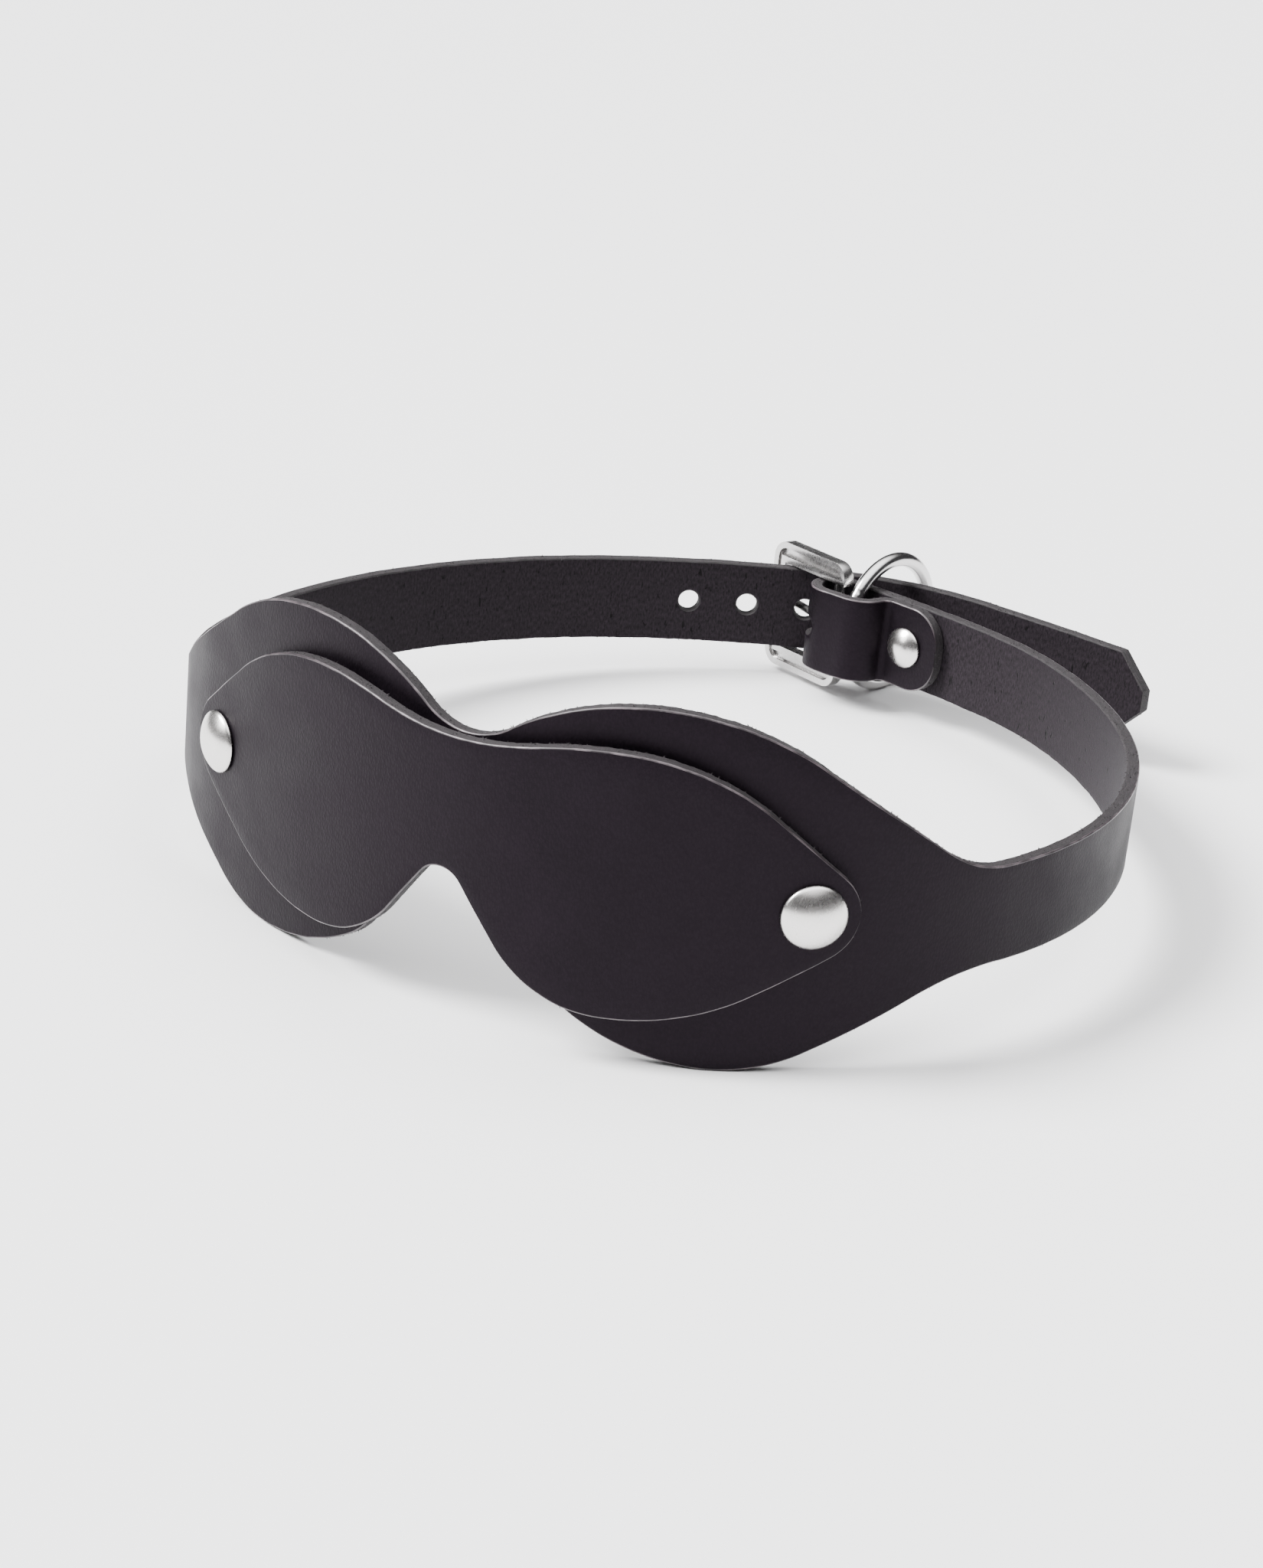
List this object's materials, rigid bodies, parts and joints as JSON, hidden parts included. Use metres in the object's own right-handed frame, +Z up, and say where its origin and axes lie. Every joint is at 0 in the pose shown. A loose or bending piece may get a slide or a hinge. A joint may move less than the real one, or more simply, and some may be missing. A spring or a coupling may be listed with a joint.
{
  "type": "leather blindfold",
  "caption": "Shaped leather blindfold with a riveted front panel and a strap that closes at the back through a prong buckle and a loose round ring.",
  "frame": {"origin": "centre of the object's box at the floor it stands on", "axes": "+Z up, the front panel faces -Y and the buckle is at +Y"},
  "size_m": [0.1984, 0.221, 0.0697],
  "materials": {
    "band_leather": "satin charcoal, fine vertical grain",
    "panel_leather": "satin charcoal, fine vertical grain",
    "nickel": "polished nickel",
    "buckle_metal": "cast and plated, slightly worn",
    "ring_metal": "polished nickel"
  },
  "bodies": {
    "mask": {"mask_strap": "band_leather", "punched_end": "band_leather", "front_panel": "panel_leather", "left_rivet_cap": "nickel", "left_rivet_post": "nickel", "right_rivet_cap": "nickel", "right_rivet_post": "nickel", "tab_rivet_cap": "nickel", "tab_rivet_post": "nickel"},
    "frame": {"buckle_frame": "buckle_metal"},
    "prong": {"buckle_prong": "buckle_metal"},
    "ring": {"keeper_ring": "ring_metal"}
  },
  "joints": [
    {"name": "frame_pivot", "type": "hinge", "parent": "mask", "child": "frame", "pos_m": [-0.01711, 0.08155, 0.0175], "axis": [0.0045, -0.0624, -0.998], "range_deg": [0, 10], "deforming": ["punched_end"]},
    {"name": "prong_pivot", "type": "hinge", "parent": "frame", "child": "prong", "pos_m": [-0.01711, 0.08155, 0.0175], "axis": [0.0045, -0.0624, -0.998], "range_deg": [0, 12], "deforming": ["punched_end"]},
    {"name": "ring_swivel", "type": "hinge", "parent": "mask", "child": "ring", "pos_m": [-0.01242, 0.07843, 0.01802], "axis": [-0.0045, 0.0624, 0.998], "range_deg": [-18, 8]}
  ]
}
